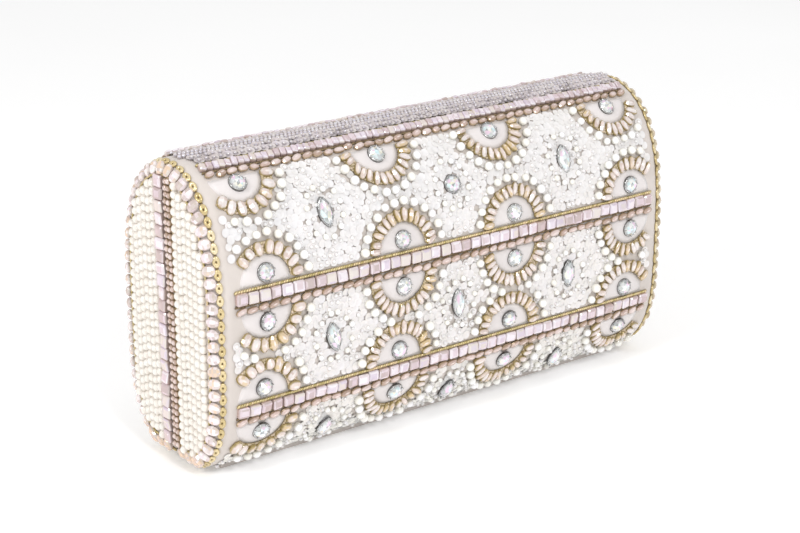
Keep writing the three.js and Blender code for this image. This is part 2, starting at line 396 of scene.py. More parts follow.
def claw_cup(claws=8):
    """The metal cup that holds a round stone of unit radius, with claws bent over its edge."""
    sides = 2 * claws
    rings = [(1.02, -0.3), (1.16, -0.3), (1.17, -0.02), (1.08, 0.1), (0.99, 0.06)]
    points, faces = [], []
    for index, (radius, height) in enumerate(rings):
        points += circle(sides, radius, height)
        faces += quads_between(index * sides, (index + 1) % len(rings) * sides, sides)
    claw = ball(6, 4)
    claw_faces = np.split(claw.loops, np.cumsum(claw.sizes))[:-1]
    for i in range(claws):
        angle = 2 * math.pi * (i + 0.5) / claws
        turn = np.array([[math.cos(angle), -math.sin(angle)], [math.sin(angle), math.cos(angle)]])
        moved = claw.points * (0.2, 0.11, 0.13) + (1.0, 0, 0.13)
        moved[:, :2] = moved[:, :2] @ turn.T
        start = len(points)
        points += [tuple(p) for p in moved]
        faces += [tuple(start + v for v in face) for face in claw_faces]
    return Template(points, faces)


def pointed(template):
    """A round template drawn out to the pointed oval of a marquise-cut stone."""
    points = template.points.copy()
    radius = np.hypot(points[:, 0], points[:, 1])
    sine = np.where(radius > 0, points[:, 0] / np.maximum(radius, 1e-9), 0)
    points[:, 0] = radius * sine * (0.45 + 0.55 * np.abs(sine))
    longer = Template(points, [(0, 1, 2)], template.smooth)
    longer.loops, longer.sizes = template.loops, template.sizes
    return longer


BALL = ball(12, 8)
SMALL_BALL = ball(8, 6)
BARREL = barrel_bead()
RING = ring()
SQUARE_BEAD = square_bead()
SEQUIN = sequin()
CUT_STONE = cut_stone()
CLAW_CUP = claw_cup()
MARQUISE = pointed(CUT_STONE)
MARQUISE_CUP = pointed(CLAW_CUP)


# ---------- sewing: copies of templates gathered into one mesh ----------
class Sewing:
    def __init__(self):
        self.points, self.loops, self.sizes, self.smooth = [], [], [], []
        self.tints, self.rises = [], []
        self.count = 0

    def add(self, template, places, size, tint=None, facet_spread=0.0):
        """Sews a template on at each place. size is one number, or one for each axis.
        Each copy has its own tint, which varies from facet to facet by facet_spread."""
        centres, axes = places
        number = len(centres)
        if number == 0:
            return
        scale = np.broadcast_to(np.atleast_2d(size), (number, 3))
        local = template.points[None] * scale[:, None]
        points = centres[:, None] + local @ axes
        start = self.count + np.arange(number)[:, None] * len(template.points)
        if tint is None:
            tint = rng.random(number)
        facets = np.repeat(tint, len(template.sizes))
        facets += rng.uniform(-facet_spread, facet_spread, len(facets))
        self.points.append(points.reshape(-1, 3))
        self.loops.append((template.loops[None] + start).ravel())
        self.sizes.append(np.tile(template.sizes, number))
        self.smooth.append(np.full(number * len(template.sizes), template.smooth))
        self.tints.append(facets)
        self.rises.append(np.tile(template.rise, number))
        self.count += number * len(template.points)

    def mesh(self, name, turn):
        """One mesh of everything sewn on, turned about the vertical for the back half."""
        points = np.concatenate(self.points) * (turn, turn, 1) * MM
        sizes = np.concatenate(self.sizes)
        loops = np.concatenate(self.loops)
        mesh = bpy.data.meshes.new(name)
        mesh.vertices.add(len(points))
        mesh.vertices.foreach_set("co", points.astype(np.float32).ravel())
        mesh.loops.add(len(loops))
        mesh.loops.foreach_set("vertex_index", loops.astype(np.int32))
        mesh.polygons.add(len(sizes))
        mesh.polygons.foreach_set("loop_start", (np.cumsum(sizes) - sizes).astype(np.int32))
        mesh.polygons.foreach_set("use_smooth", np.concatenate(self.smooth))
        mesh.update(calc_edges=True)
        tint = mesh.attributes.new("tint", "FLOAT", "FACE")
        tint.data.foreach_set("value", np.concatenate(self.tints).astype(np.float32))
        rise = mesh.attributes.new("rise", "FLOAT", "POINT")
        rise.data.foreach_set("value", np.concatenate(self.rises).astype(np.float32))
        return mesh


# ---------- materials ----------
def node_material(name):
    material = bpy.data.materials.new(name)
    material.use_nodes = True
    nodes, links = material.node_tree.nodes, material.node_tree.links
    return material, nodes, links, nodes["Principled BSDF"]


def ramp(nodes, stops):
    node = nodes.new("ShaderNodeValToRGB")
    while len(node.color_ramp.elements) < len(stops):
        node.color_ramp.elements.new(0.5)
    for element, (position, colour) in zip(node.color_ramp.elements, stops):
        element.position = position
        element.color = (*colour, 1)
    return node


def own_place(nodes):
    """Each point's place on its own object, so that a pattern moves with the object."""
    return nodes.new("ShaderNodeTexCoord").outputs["Object"]


def noise(nodes, links, scale, detail=2.0):
    texture = nodes.new("ShaderNodeTexNoise")
    texture.inputs["Scale"].default_value = scale
    texture.inputs["Detail"].default_value = detail
    links.new(own_place(nodes), texture.inputs["Vector"])
    return texture


def bump(nodes, links, height, shader, strength, distance):
    node = nodes.new("ShaderNodeBump")
    node.inputs["Strength"].default_value = strength
    node.inputs["Distance"].default_value = distance
    links.new(height, node.inputs["Height"])
    links.new(node.outputs["Normal"], shader.inputs["Normal"])


def roughness_from(nodes, links, value, shader, low, high):
    spread = nodes.new("ShaderNodeMapRange")
    spread.inputs["To Min"].default_value = low
    spread.inputs["To Max"].default_value = high
    links.new(value, spread.inputs["Value"])
    links.new(spread.outputs["Result"], shader.inputs["Roughness"])


def attribute(nodes, name):
    node = nodes.new("ShaderNodeAttribute")
    node.attribute_name = name
    return node.outputs["Fac"]


def blend_by_rise(nodes, links, low, high, start, end):
    """A mix of two colours by how far up its bead a point is, as a colour socket."""
    height = nodes.new("ShaderNodeMapRange")
    height.interpolation_type = "SMOOTHSTEP"
    height.inputs["From Min"].default_value = start
    height.inputs["From Max"].default_value = end
    links.new(attribute(nodes, "rise"), height.inputs["Value"])
    mix = nodes.new("ShaderNodeMix")
    mix.data_type = "RGBA"
    links.new(height.outputs["Result"], mix.inputs["Factor"])
    for value, socket in ((low, mix.inputs["A"]), (high, mix.inputs["B"])):
        if isinstance(value, tuple):
            socket.default_value = (*value, 1)
        else:
            links.new(value, socket)
    return mix.outputs["Result"]


def bead_material(name, colours, foot, roughness, metallic, coat, film, painted_highlight):
    """Glass, pearl or metal beads. Each bead has its own tint along a ramp of colours, a little
    cloudy. Low down, where it meets its neighbours, it turns to the foot colour, a painted shade,
    and silver-lined glass also turns at the top to the colour of a painted highlight."""
    material, nodes, links, shader = node_material(name)
    cloud = noise(nodes, links, 700)
    tint = nodes.new("ShaderNodeMath")
    tint.operation = "MULTIPLY_ADD"
    tint.inputs[1].default_value = 0.2
    links.new(cloud.outputs["Fac"], tint.inputs[0])
    links.new(attribute(nodes, "tint"), tint.inputs[2])
    body = ramp(nodes, [(0.1 + i / (len(colours) - 1), colour) for i, colour in enumerate(colours)])
    links.new(tint.outputs["Value"], body.inputs["Fac"])
    # Painted shade in the foot colour low on each bead, and where a top colour is given, a painted
    # highlight at its top.
    if painted_highlight:
        colour = blend_by_rise(nodes, links, foot, body.outputs["Color"], 0.6, 0.88)
        colour = blend_by_rise(nodes, links, colour, painted_highlight, 0.93, 1.0)
    else:
        colour = blend_by_rise(nodes, links, foot, body.outputs["Color"], 0.35, 0.8)
    links.new(colour, shader.inputs["Base Color"])
    roughness_from(nodes, links, cloud.outputs["Fac"], shader, roughness * 0.7, roughness * 1.3)
    bump(nodes, links, cloud.outputs["Fac"], shader, 0.12, 0.0002)
    shader.inputs["Metallic"].default_value = metallic
    shader.inputs["Coat Weight"].default_value = coat
    shader.inputs["Coat Roughness"].default_value = 0.06
    shader.inputs["Thin Film Thickness"].default_value = film
    return material


def woven_material(name, dark, light, thread, sheen, roughness):
    """Woven cloth: two crossing sets of threads, with cloudy colour."""
    material, nodes, links, shader = node_material(name)
    waves = []
    for direction in ("X", "Z"):
        wave = nodes.new("ShaderNodeTexWave")
        wave.bands_direction = direction
        wave.inputs["Scale"].default_value = thread
        wave.inputs["Distortion"].default_value = 0.6
        links.new(own_place(nodes), wave.inputs["Vector"])
        waves.append(wave)
    weave = nodes.new("ShaderNodeMath")
    weave.operation = "MULTIPLY"
    links.new(waves[0].outputs["Fac"], weave.inputs[0])
    links.new(waves[1].outputs["Fac"], weave.inputs[1])
    cloud = noise(nodes, links, 60, 4)
    shade = ramp(nodes, [(0.3, dark), (0.7, light)])
    links.new(cloud.outputs["Fac"], shade.inputs["Fac"])
    links.new(shade.outputs["Color"], shader.inputs["Base Color"])
    roughness_from(nodes, links, cloud.outputs["Fac"], shader, roughness - 0.1, roughness + 0.1)
    bump(nodes, links, weave.outputs["Value"], shader, 0.35, 0.0002)
    shader.inputs["Sheen Weight"].default_value = sheen
    return material


def metal_material(name, dark, light, roughness):
    """Brushed metal: fine scratches along the bag, and cloudy tarnish."""
    material, nodes, links, shader = node_material(name)
    stretch = nodes.new("ShaderNodeMapping")
    stretch.inputs["Scale"].default_value = (40, 1200, 1200)
    brushed = nodes.new("ShaderNodeTexNoise")
    brushed.inputs["Scale"].default_value = 3
    links.new(own_place(nodes), stretch.inputs["Vector"])
    links.new(stretch.outputs["Vector"], brushed.inputs["Vector"])
    shade = ramp(nodes, [(0.3, dark), (0.7, light)])
    links.new(noise(nodes, links, 90, 5).outputs["Fac"], shade.inputs["Fac"])
    links.new(shade.outputs["Color"], shader.inputs["Base Color"])
    roughness_from(nodes, links, brushed.outputs["Fac"], shader, roughness - 0.08, roughness + 0.12)
    bump(nodes, links, brushed.outputs["Fac"], shader, 0.1, 0.0001)
    shader.inputs["Metallic"].default_value = 1
    return material


CREAM_PEARL = ((0.85, 0.79, 0.72), (0.87, 0.82, 0.755), (0.885, 0.845, 0.79))
WHITE_PEARL = ((0.89, 0.86, 0.80), (0.93, 0.92, 0.88), (0.92, 0.91, 0.93))
FAN_GLASS = (
    (0.70, 0.53, 0.30),
    (0.74, 0.61, 0.53),
    (0.80, 0.69, 0.66),
    (0.82, 0.77, 0.75),
    (0.70, 0.57, 0.52),
)
LILAC = (
    (0.56, 0.45, 0.42),
    (0.74, 0.61, 0.64),
    (0.88, 0.82, 0.84),
    (0.68, 0.58, 0.66),
    (0.76, 0.68, 0.62),
)
BORDER_GLASS = (
    (0.60, 0.50, 0.44),
    (0.86, 0.74, 0.76),
    (0.95, 0.89, 0.87),
    (0.66, 0.55, 0.49),
    (0.82, 0.62, 0.45),
)
CHAMPAGNE = ((0.50, 0.40, 0.24), (0.70, 0.60, 0.44), (0.82, 0.75, 0.62), (0.58, 0.46, 0.34))
PALE_GOLD = ((0.54, 0.41, 0.17), (0.72, 0.58, 0.31), (0.82, 0.71, 0.47))
ROSE = ((0.46, 0.33, 0.26), (0.64, 0.48, 0.43), (0.76, 0.63, 0.60))
OLIVE_GOLD = ((0.46, 0.37, 0.15), (0.62, 0.52, 0.28), (0.70, 0.55, 0.33))
DARK_GOLD = ((0.50, 0.41, 0.26), (0.63, 0.53, 0.37), (0.70, 0.57, 0.44))
# Near-black brown for the dark cords. On the face lines and at the opening such a cord is partly a cord
# and partly painted shadow that falls under the beads.
BROWN = ((0.16, 0.11, 0.06), (0.26, 0.19, 0.10))
CLEAR = ((0.80, 0.80, 0.80), (0.85, 0.85, 0.84), (0.87, 0.86, 0.85))
LILAC_CLEAR = ((0.56, 0.52, 0.54), (0.66, 0.62, 0.64), (0.72, 0.69, 0.68), (0.62, 0.57, 0.56))
NICKEL = ((0.42, 0.42, 0.42), (0.70, 0.70, 0.69))
# Stone facet colours. The teal, pink and yellow facets are the stones' coating; the near-white and dark
# grey facets are painted reflections.
CRYSTAL = (
    (0.94, 0.95, 0.96),
    (0.36, 0.37, 0.38),
    (0.96, 0.96, 0.96),
    (0.97, 0.92, 0.74),
    (0.52, 0.54, 0.56),
    (0.97, 0.97, 0.98),
    (0.66, 0.86, 0.90),
    (0.95, 0.95, 0.95),
    (0.93, 0.70, 0.86),
)

# Each bead material: colours, foot colour of painted shade, roughness, metallic, coat, film in nm, colour
# of a painted highlight at the top.
BEAD_LOOKS = {
    "cream_pearl": (CREAM_PEARL, (0.88, 0.81, 0.73), 0.2, 0, 1, 0, None),
    "white_pearl": (WHITE_PEARL, (0.74, 0.72, 0.64), 0.16, 0, 1, 0, None),
    "fan_glass": (FAN_GLASS, (0.36, 0.27, 0.10), 0.16, 0.25, 1, 0, (0.94, 0.86, 0.82)),
    "lilac": (LILAC, (0.50, 0.38, 0.34), 0.12, 0.15, 0.9, 380, None),
    "border_glass": (BORDER_GLASS, (0.66, 0.58, 0.54), 0.12, 0.1, 0.9, 380, None),
    "champagne": (CHAMPAGNE, (0.46, 0.36, 0.20), 0.12, 0.1, 0.9, 380, None),
    "pale_gold": (PALE_GOLD, (0.56, 0.44, 0.20), 0.2, 0.3, 0.8, 0, None),
    "rose": (ROSE, (0.38, 0.27, 0.16), 0.2, 0.2, 0.6, 0, (0.88, 0.76, 0.72)),
    "olive_gold": (OLIVE_GOLD, (0.36, 0.28, 0.10), 0.28, 0.6, 0, 0, None),
    "dark_gold": (DARK_GOLD, (0.36, 0.28, 0.15), 0.3, 0.3, 0, 0, None),
    "dark_cord": (BROWN, (0.10, 0.07, 0.04), 0.6, 0, 0, 0, None),
    "clear": (CLEAR, (0.82, 0.815, 0.81), 0.16, 0, 0.9, 320, None),
    "lilac_clear": (LILAC_CLEAR, (0.5, 0.47, 0.5), 0.16, 0, 0.9, 340, None),
    "crystal": (CRYSTAL, (0.60, 0.61, 0.62), 0.05, 0.4, 1, 420, None),
    "claw_metal": (NICKEL, (0.2, 0.2, 0.2), 0.25, 1, 0, 0, None),
}

MATERIALS = {name: bead_material(name, *looks) for name, looks in BEAD_LOOKS.items()}
MATERIALS |= {
    "cloth": woven_material("cloth", (0.65, 0.59, 0.55), (0.71, 0.65, 0.61), 900, 0.3, 0.85),
    "patch": woven_material("patch", (0.77, 0.72, 0.71), (0.83, 0.78, 0.77), 1300, 0.6, 0.5),
    "satin": woven_material("satin", (0.62, 0.50, 0.44), (0.72, 0.61, 0.55), 1600, 0.8, 0.4),
    "board": woven_material("board", (0.55, 0.50, 0.42), (0.66, 0.61, 0.52), 300, 0.0, 0.9),
    "brass": metal_material("brass", (0.62, 0.46, 0.20), (0.80, 0.64, 0.34), 0.3),
    "steel": metal_material("steel", (0.52, 0.53, 0.55), (0.70, 0.71, 0.73), 0.3),
}


# ---------- pieces ----------
TURNS = {"front": 1, "back": -1}  # the back half is the front one, half turned about the vertical


def make_piece(half, name, sewing, material, node):
    """One piece of everything sewn on."""
    full_name = f"{half}_{name}"
    mesh = sewing.mesh(full_name, TURNS[half])
    attach(half, full_name, mesh, material, node)


def make_pieces(half, node, parts):
    """The pieces that stand for one CAD node: a sewing and its material under each name."""
    for name, (sewing, material) in parts.items():
        make_piece(half, f"{node}_{name}", sewing, material, node)


def attach(half, full_name, mesh, material, node):
    """An object with a mesh, which rides on a half and stands for a CAD node of it."""
    mesh.materials.append(MATERIALS[material])
    piece = bpy.data.objects.new(full_name, mesh)
    bpy.context.scene.collection.objects.link(piece)
    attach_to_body(piece, f"{half}_half")
    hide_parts(f"{half}_{node}")
    return piece


def evenly(low, high, pitch):
    """Bead centres that fill a stretch at about a pitch."""
    count = max(1, round((high - low) / pitch))
    return low + (np.arange(count) + 0.5) * (high - low) / count


def jitter(values, amount):
    return values + rng.normal(0, amount, np.shape(values))


def cord_places(path_points, path_out, pitch, slant):
    """Places for the slanted strands of a twisted cord along a line of points."""
    steps = np.linalg.norm(np.diff(path_points, axis=0), axis=1)
    length = np.concatenate([[0], np.cumsum(steps)])
    wanted = evenly(0, length[-1], pitch)
    centre = np.stack([np.interp(wanted, length, path_points[:, i]) for i in range(3)], -1)
    out = np.stack([np.interp(wanted, length, path_out[:, i]) for i in range(3)], -1)
    ahead = np.gradient(centre, axis=0)
    ahead /= np.linalg.norm(ahead, axis=1, keepdims=True)
    out -= ahead * np.sum(ahead * out, axis=1, keepdims=True)
    out /= np.linalg.norm(out, axis=1, keepdims=True)
    axes = np.stack([ahead, np.cross(out, ahead), out], 1)
    return centre, turned(axes, np.full(len(centre), slant))


def sew_cord(sewing, path_points, path_out, radius):
    """A twisted cord, made of one slanted strand after another."""
    places = cord_places(path_points, path_out, radius * STRAND_PITCH, STRAND_SLANT)
    sewing.add(SMALL_BALL, places, radius * np.array(STRAND))


def sew_face_cord(sewing, low, high, s, radius):
    x = np.linspace(low, high, 60)
    centre, axes = face_frames(x, np.full(60, s), radius * 0.9)
    sew_cord(sewing, centre, axes[:, 2], radius)


def line_beads(half, number):
    """A bead line: gold cord, a row of square beads, a dark cord that is partly painted shadow under
    them, and a row of rose beads.
    """
    name = f"line_{number}"
    start, end = band_of(f"{half}_{name}")
    cords, dark, squares, roses = Sewing(), Sewing(), Sewing(), Sewing()
    sew_face_cord(cords, -PATTERN_END, PATTERN_END, start + CORD, CORD)
    # The dark cord between the squares and the roses is partly painted shadow under the squares.
    sew_face_cord(dark, -PATTERN_END, PATTERN_END, end - 2 * ROSE_BEAD[1] - DARK_CORD, DARK_CORD)
    pitch = SQUARE_PITCHES[number]
    x = evenly(-PATTERN_END, PATTERN_END, pitch)
    tall = end - start - 2 * CORD - 2 * DARK_CORD - 2 * ROSE_BEAD[1]
    row = jitter(np.full(len(x), start + 2 * CORD + tall / 2), 0.1)
    centre, axes = face_frames(jitter(x, 0.08), row, jitter(np.full(len(x), SEATS["square"]), 0.12))
    axes = turned(axes, np.full(len(x), SQUARE_SLANTS[number]))
    size = (pitch, tall, SQUARE_HEIGHT) * rng.normal((0.93, 1, 1), 0.03, (len(x), 3))
    squares.add(SQUARE_BEAD, (centre, tipped(axes, SQUARE_LEAN)), size, facet_spread=0.22)
    x = evenly(-PATTERN_END, PATTERN_END, ROSE_BEAD[0] * 2)
    row = jitter(np.full(len(x), end - ROSE_BEAD[1]), 0.15)
    centre, axes = face_frames(jitter(x, 0.1), row, SEATS["rose"])
    axes = turned(axes, rng.normal(0.2, 0.1, len(x)))
    size = ROSE_BEAD * rng.normal(1, 0.06, (len(x), 3))
    roses.add(BARREL, (centre, tipped(axes, LEAN)), size, facet_spread=0.2)
    parts = {
        "cord": (cords, "olive_gold"),
        "dark_cord": (dark, "dark_cord"),
        "squares": (squares, "lilac"),
        "roses": (roses, "rose"),
    }
    make_pieces(half, name, parts)


def top_sequins(half):
    """Rows of lilac sequins beside the opening, each held by a seed bead, and an edge of beads."""
    start, end = band_of(f"{half}_top_sequins")
    sequins = Sewing()
    x = evenly(-FACE_HALF_WIDTH - 1.5, FACE_HALF_WIDTH + 1.5, EDGE_BEAD * 2)
    centre, axes = face_frames(x, start + SEATS["edge"], SEATS["edge"])
    sequins.add(SMALL_BALL, (centre, axes), EDGE_BEAD, facet_spread=0.1)
    rows = evenly(start + EDGE_BEAD * 2, end - 0.2, TOP_SEQUIN * 1.15)
    for index, s in enumerate(rows):
        x = evenly(-PATTERN_END, PATTERN_END, TOP_SEQUIN * 1.5) + (index % 2) * TOP_SEQUIN * 0.75
        x = jitter(x, 0.1)
        row = jitter(np.full(len(x), s), 0.1)
        centre, axes = face_frames(x, row, SEATS["top_sequin"])
        sequins.add(SEQUIN, (centre, tipped(axes, LEAN)), TOP_SEQUIN, facet_spread=0.15)
        sequins.add(SMALL_BALL, (centre + axes[:, 2] * SEATS["top_seed"], axes), TOP_SEED)
    make_piece(half, "top_sequins_sewn", sequins, "lilac_clear", "top_sequins")


class Fan:
    """A half round of tube beads on the edge of a line, opening up or down the cloth."""

    def __init__(self, x, edge, up, beads):
        self.x, self.edge, self.up, self.beads = x, edge, up, beads
        self.bead_width = FAN_BEAD_FILL * np.pi * FAN_RADIUS / beads / 2

    def places(self, radius, angles, height):
        """Places on an arc; the first axis points away from the fan's centre."""
        x = self.x + radius * np.cos(angles)
        s = self.edge - self.up * radius * np.sin(angles)
        centre, axes = face_frames(x, s, height)
        return centre, turned(axes, self.up * angles), x, s

    def holds(self, x, s, radius):
        """Which points are within a radius on the fan's side of its line."""
        near = np.hypot(x - self.x, s - self.edge) < radius
        return near & ((self.edge - s) * self.up > -1.0)


def fans_of(number, low, high):
    """The fans in one field: those hanging from the line above, then those on the line below."""
    columns = list(zip(COLUMNS, FAN_BEADS))
    fans = [Fan(x + LINE_SHIFTS[number], low, -1, beads) for x, beads in columns]
    if number + 1 in LINE_SHIFTS:
        fans += [Fan(x + LINE_SHIFTS[number + 1], high, 1, beads) for x, beads in columns]
    return fans


def bead_angles(fan):
    """Where a fan's beads stand round it. Those that would reach past the pattern are left out."""
    angles = np.pi * (np.arange(fan.beads) + 0.5) / fan.beads
    outer_end = np.abs(fan.x + (FAN_RADIUS + FAN_BEAD_LENGTH) * np.cos(angles))
    return angles[outer_end < PATTERN_END + EDGE_BEAD]


def fan_beads(fans):
    """Barrel beads set like rays round each fan, as far as the cloth's edge."""
    sewing = Sewing()
    for fan in fans:
        angles = jitter(bead_angles(fan), 0.02)
        radius = jitter(np.full(len(angles), FAN_RADIUS), 0.15)
        centre, axes, _, _ = fan.places(radius, angles, SEATS["fan"])
        axes = tipped(turned(axes, rng.normal(0.08, 0.1, len(angles))), LEAN)
        size = (FAN_BEAD_LENGTH, fan.bead_width, FAN_BEAD_HEIGHT)
        size = size * rng.normal(1, 0.05, (len(angles), 3))
        sewing.add(BARREL, (centre, axes), size, facet_spread=0.2)
    return sewing


def fan_braid(fans):
    """A dark gold braid under each fan's beads, which shows between them."""
    sewing = Sewing()
    for fan in fans:
        beads = bead_angles(fan)
        past = 0.6 * fan.bead_width / FAN_RADIUS
        angles = np.linspace(beads[0] - past, beads[-1] + past, 40)
        for radius in BRAID_RADII:
            centre, axes, _, _ = fan.places(radius, angles, SEATS["braid"])
            sew_cord(sewing, centre, axes[:, 2], CORD)
    return sewing


def fan_patches(fans):
    """The smooth satin half discs inside the fans, slightly padded."""
    rings, spokes = 6, 18
    sewing = Sewing()
    radius = (FAN_RADIUS - FAN_BEAD_LENGTH + 0.2) * np.linspace(0, 1, rings + 1)[1:]
    angles = np.linspace(0, np.pi, spokes)
    grid_radius, grid_angle = (a.ravel() for a in np.meshgrid(radius, angles, indexing="ij"))
    rise = 0.55 * (1 - (grid_radius / radius[-1]) ** 4) * np.minimum(1, np.sin(grid_angle) * 3)
    for fan in fans:
        top, _, _, _ = fan.places(grid_radius, grid_angle, rise + 0.12)
        low, _, _, _ = fan.places(grid_radius, grid_angle, -0.1)
        as_it_is = np.zeros((1, 3)), np.eye(3)[None]
        sewing.add(patch_template(top, low, rings, spokes, fan.up), as_it_is, 1)
    return sewing


def patch_template(top, low, rings, spokes, up):
    """A thin closed sheet between two grids of points, rings by spokes."""
    count = rings * spokes
    faces = []
    for ring in range(rings - 1):
        for i in range(spokes - 1):
            a, b = ring * spokes + i, (ring + 1) * spokes + i
            faces.append((a, b, b + 1, a + 1))
            faces.append((count + a, count + a + 1, count + b + 1, count + b))
    edge = [i for i in range(spokes)] + [r * spokes + spokes - 1 for r in range(1, rings)]
    edge += [(rings - 1) * spokes + i for i in range(spokes - 2, -1, -1)]
    edge += [r * spokes for r in range(rings - 2, 0, -1)]
    around = zip(edge, edge[1:] + edge[:1])
    faces += [(a, b, count + b, count + a) for a, b in around]
    if up < 0:
        faces = [tuple(reversed(face)) for face in faces]
    return Template(np.concatenate([top, low]), faces)


def apart(chosen, x, s, distance):
    """Which points are at least a distance from every chosen one."""
    if not len(chosen):
        return np.ones(len(x), bool)
    taken = np.array(chosen)
    gaps = np.hypot(x[:, None] - taken[:, 0], s[:, None] - taken[:, 1])
    return gaps.min(1) >= distance


def outlining_pearls(fans, low, high):
    """Pearls round the outside of each fan; where two rounds meet, one pearl serves both."""
    chosen = []
    for fan in fans:
        angles = np.radians(np.linspace(FAN_PEARLS_START, 180 - FAN_PEARLS_START, FAN_PEARLS))
        _, _, x, s = fan.places(FAN_PEARL_RADIUS, angles, 0)
        x, s = jitter(x, 0.2), jitter(s, 0.2)
        inside = (np.abs(x) < PATTERN_END - 1) & (s > low + PEARL) & (s < high - PEARL)
        clear = ~np.any([other.holds(x, s, FAN_PEARL_RADIUS - 0.9) for other in fans], axis=0)
        for px, ps in zip(x[inside & clear], s[inside & clear]):
            if apart(chosen, np.array([px]), np.array([ps]), PEARL * 2.05)[0]:
                chosen.append((px, ps))
    return chosen


def filling_points(low, high, fans, chosen, rays, stones):
    """A jittered triangular grid of sequins over what is left of a field."""
    pitch = FILLING_PITCH
    rows = np.arange(low + pitch / 2, high, pitch * 0.87)
    across = np.arange(-PATTERN_END, PATTERN_END, pitch)
    x = np.concatenate([across + (i % 2) * pitch / 2 for i in range(len(rows))])
    s = np.repeat(rows, len(across))
    x, s = jitter(x, pitch * 0.1), jitter(s, pitch * 0.1)
    free = apart(chosen, x, s, PEARL + 0.2) & apart(rays, x, s, RAY_PEARL + 0.2)
    free &= apart([(a, b) for a, b, _ in stones], x, s, STONE * 1.3)
    free &= ~np.any([fan.holds(x, s, FAN_RADIUS + FAN_BEAD_LENGTH + 0.7) for fan in fans], axis=0)
    return x[free], s[free]


def sew_filling(filling, x, s):
    """Clear sequins, some of them with a small bead on top."""
    centre, axes = face_frames(x, s, SEATS["filling_sequin"])
    size = rng.normal(FILLING_SEQUIN, 0.1, (len(x), 1)) * (1, 1, 0.6)
    filling.add(SEQUIN, (centre, tipped(axes, FILLING_LEAN)), size)
    beaded = rng.random(len(x)) < FILLING_BEADED
    places = face_frames(x[beaded], s[beaded], SEATS["filling_bead"])
    size = rng.normal(FILLING_BEAD, 0.06, (beaded.sum(), 1)) * np.ones(3)
    filling.add(SMALL_BALL, places, size)


def sew_stones(crystals, cups, number, fans, stones):
    """A stone in each fan, then one in each diamond, all in claw cups."""
    for fan in fans:
        rise = TOP_STONE_RISE if number == 1 and fan.up < 0 else STONE_RISE
        centre, axes = face_frames([fan.x], [fan.edge - fan.up * rise], SEATS["fan_stone"])
        axes = turned(tipped(axes, SLIGHT_LEAN), rng.normal(0, 0.4, 1))
        sew_stone(crystals, cups, (CUT_STONE, CLAW_CUP), (centre, axes), STONE)
    for x, s, pointed_cut in stones:
        centre, axes = face_frames([x], [s], SEATS["diamond_stone"])
        axes = turned(tipped(axes, SLIGHT_LEAN), rng.normal(0.1, 0.08, 1))
        cut = (MARQUISE, MARQUISE_CUP) if pointed_cut else (CUT_STONE, CLAW_CUP)
        size = MARQUISE_SIZE if pointed_cut else STONE
        sew_stone(crystals, cups, cut, (centre, axes), size)


def field_beads(half, number, pointed_cuts):
    """One field of the long face: fans, pearls, diamond stones and the filling between them.
    pointed_cuts says of each diamond whether its stone is a marquise."""
    name = f"field_{number}"
    low, high = band_of(f"{half}_{name}")
    fans = fans_of(number, low, high)
    stones = [(x, (low + high) / 2, pointed_cut) for x, pointed_cut in zip(DIAMONDS, pointed_cuts)]
    chosen = outlining_pearls(fans, low, high)
    pearls, filling, crystals, cups = Sewing(), Sewing(), Sewing(), Sewing()
    sew_pearls(pearls, np.array(chosen).T, PEARL)
    rays = ray_points(stones, chosen, low, high)
    sew_pearls(pearls, np.array(rays).T, RAY_PEARL)
    x, s = filling_points(low, high, fans, chosen, rays, stones)
    sew_filling(filling, x, s)
    sew_stones(crystals, cups, number, fans, stones)
    parts = {
        "fans": (fan_beads(fans), "fan_glass"),
        "braid": (fan_braid(fans), "dark_gold"),
        "patches": (fan_patches(fans), "patch"),
        "pearls": (pearls, "white_pearl"),
        "filling": (filling, "clear"),
        "stones": (crystals, "crystal"),
        "claws": (cups, "claw_metal"),
    }
    make_pieces(half, name, parts)


def sew_pearls(sewing, points, radius):
    x, s = points
    size = radius * rng.normal(1, 0.05, len(x))
    sewing.add(BALL, face_frames(x, s, size * 0.8), size[:, None] * np.ones(3))


def sew_stone(crystals, cups, cut, places, size):
    # Each facet takes its own colour from the stone palette, so white and dark grey facets paint
    # reflections over the stone.
    crystals.add(cut[0], places, size, facet_spread=0.6, tint=np.full(1, 0.5))
    cups.add(cut[1], places, size)


def ray_points(stones, chosen, low, high):
    """A ring of smaller pearls round each diamond's stone, where there is room for them."""
    found = []
    for x, s, _ in stones:
        angles = 2 * np.pi * (np.arange(RAY_COUNT) + 0.5) / RAY_COUNT
        ring_x = jitter(x + RAY_RADIUS * 0.85 * np.cos(angles), 0.3)
        ring_s = jitter(s + RAY_RADIUS * np.sin(angles), 0.3)
        free = apart(chosen, ring_x, ring_s, PEARL + RAY_PEARL)
        free &= (ring_s > low + RAY_PEARL) & (ring_s < high - RAY_PEARL)
        found += list(zip(ring_x[free], ring_s[free]))
    return found


# ---------- the ends ----------
def inset_of(y, z):
    """How far inside the section's outline each point is; less than nothing outside it."""
    nearest = SECTION.nearest(np.abs(y), z)
    depth, height, out_depth, out_z = SECTION.at(nearest)
    return (depth - np.abs(y)) * out_depth + (height - z) * out_z


